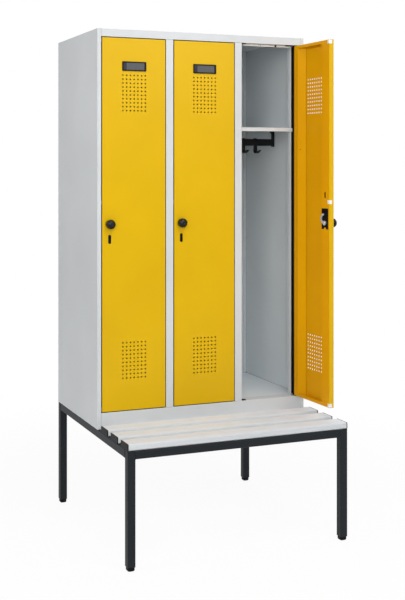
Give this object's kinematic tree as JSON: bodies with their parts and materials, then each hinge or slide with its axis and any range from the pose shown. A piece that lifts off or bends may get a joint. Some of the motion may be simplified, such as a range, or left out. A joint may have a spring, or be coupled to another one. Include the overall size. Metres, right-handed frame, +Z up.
{
  "type": "locker with bench",
  "caption": "Steel clothes locker on a tube frame that reaches forward under a slatted bench; inset doors with turn knobs, hat shelves and coat hooks.",
  "frame": {"origin": "on the floor under the middle of the bench frame's footprint", "axes": "+Z up, doors and bench face -Y, +X to the right of someone facing the doors"},
  "size_m": [0.9148, 0.82, 1.955],
  "materials": {
    "light_grey_paint": "fine satin powder coat",
    "yellow_paint": "golden yellow satin powder coat",
    "anthracite_paint": "dark grey satin powder coat",
    "light_grey_seat": "light grey satin plastic with a fine grain",
    "black_plastic": "moulded, satin",
    "dark_grey_plastic": "moulded, satin",
    "bright_steel": "bright zinc-plated",
    "black_steel": "black satin coat"
  },
  "bodies": {
    "cabinet": {"left_side_panel": "light_grey_paint", "right_side_panel": "light_grey_paint", "rear_panel": "light_grey_paint", "top_panel": "light_grey_paint", "bottom_panel": "light_grey_paint", "partition_1": "light_grey_paint", "partition_2": "light_grey_paint", "hat_shelf_1": "light_grey_paint", "hat_shelf_2": "light_grey_paint", "hat_shelf_3": "light_grey_paint", "hook_rail_1": "black_steel", "hook_rail_2": "black_steel", "hook_rail_3": "black_steel", "front_left_leg": "anthracite_paint", "front_left_foot": "black_plastic", "front_right_leg": "anthracite_paint", "front_right_foot": "black_plastic", "rear_left_leg": "anthracite_paint", "rear_left_foot": "black_plastic", "rear_right_leg": "anthracite_paint", "rear_right_foot": "black_plastic", "left_side_rail": "anthracite_paint", "right_side_rail": "anthracite_paint", "front_rail": "anthracite_paint", "middle_rail": "anthracite_paint", "rear_rail": "anthracite_paint", "slat_1": "light_grey_seat", "slat_1_left_cap": "black_plastic", "slat_1_right_cap": "black_plastic", "slat_2": "light_grey_seat", "slat_2_left_cap": "black_plastic", "slat_2_right_cap": "black_plastic", "slat_3": "light_grey_seat", "slat_3_left_cap": "black_plastic", "slat_3_right_cap": "black_plastic"},
    "door_1": {"door_1_shell": "yellow_paint", "door_1_pivot_rod": "bright_steel", "door_1_label_holder": "dark_grey_plastic", "door_1_lock_case": "black_plastic"},
    "knob_1": {"door_1_knob": "black_plastic", "door_1_latch": "bright_steel"},
    "door_2": {"door_2_shell": "yellow_paint", "door_2_pivot_rod": "bright_steel", "door_2_label_holder": "dark_grey_plastic", "door_2_lock_case": "black_plastic"},
    "knob_2": {"door_2_knob": "black_plastic", "door_2_latch": "bright_steel"},
    "door_3": {"door_3_shell": "yellow_paint", "door_3_pivot_rod": "bright_steel", "door_3_label_holder": "dark_grey_plastic", "door_3_lock_case": "black_plastic"},
    "knob_3": {"door_3_knob": "black_plastic", "door_3_latch": "bright_steel"},
    "hook_1_left": {"coat_hook_1_left": "black_steel"},
    "hook_1_right": {"coat_hook_1_right": "black_steel"},
    "hook_2_left": {"coat_hook_2_left": "black_steel"},
    "hook_2_right": {"coat_hook_2_right": "black_steel"},
    "hook_3_left": {"coat_hook_3_left": "black_steel"},
    "hook_3_right": {"coat_hook_3_right": "black_steel"}
  },
  "joints": [
    {"name": "door_1_hinge", "type": "hinge", "parent": "cabinet", "child": "door_1", "pos_m": [-0.1785, -0.0825, 1.206], "axis": [0, 0, 1], "range_deg": [0, 110]},
    {"name": "knob_1_turn", "type": "hinge", "parent": "door_1", "child": "knob_1", "pos_m": [-0.4015, -0.09, 1.207], "axis": [0, -1, 0], "range_deg": [0, 90]},
    {"name": "door_2_hinge", "type": "hinge", "parent": "cabinet", "child": "door_2", "pos_m": [0.1215, -0.0825, 1.206], "axis": [0, 0, 1], "range_deg": [0, 110]},
    {"name": "knob_2_turn", "type": "hinge", "parent": "door_2", "child": "knob_2", "pos_m": [-0.1015, -0.09, 1.207], "axis": [0, -1, 0], "range_deg": [0, 90]},
    {"name": "door_3_hinge", "type": "hinge", "parent": "cabinet", "child": "door_3", "pos_m": [0.4215, -0.0825, 1.206], "axis": [0, 0, 1], "range_deg": [-92, 18]},
    {"name": "knob_3_turn", "type": "hinge", "parent": "door_3", "child": "knob_3", "pos_m": [0.43678, -0.3051, 1.207], "axis": [0.9994, 0.0349, 0], "range_deg": [0, 90]},
    {"name": "hook_1_left_slide", "type": "slide", "parent": "cabinet", "child": "hook_1_left", "axis": [1, 0, 0], "range_m": [-0.088, 0.018]},
    {"name": "hook_1_right_slide", "type": "slide", "parent": "cabinet", "child": "hook_1_right", "axis": [1, 0, 0], "range_m": [-0.018, 0.068]},
    {"name": "hook_2_left_slide", "type": "slide", "parent": "cabinet", "child": "hook_2_left", "axis": [1, 0, 0], "range_m": [-0.088, 0.018]},
    {"name": "hook_2_right_slide", "type": "slide", "parent": "cabinet", "child": "hook_2_right", "axis": [1, 0, 0], "range_m": [-0.018, 0.068]},
    {"name": "hook_3_left_slide", "type": "slide", "parent": "cabinet", "child": "hook_3_left", "axis": [1, 0, 0], "range_m": [-0.088, 0.018]},
    {"name": "hook_3_right_slide", "type": "slide", "parent": "cabinet", "child": "hook_3_right", "axis": [1, 0, 0], "range_m": [-0.018, 0.068]}
  ]
}
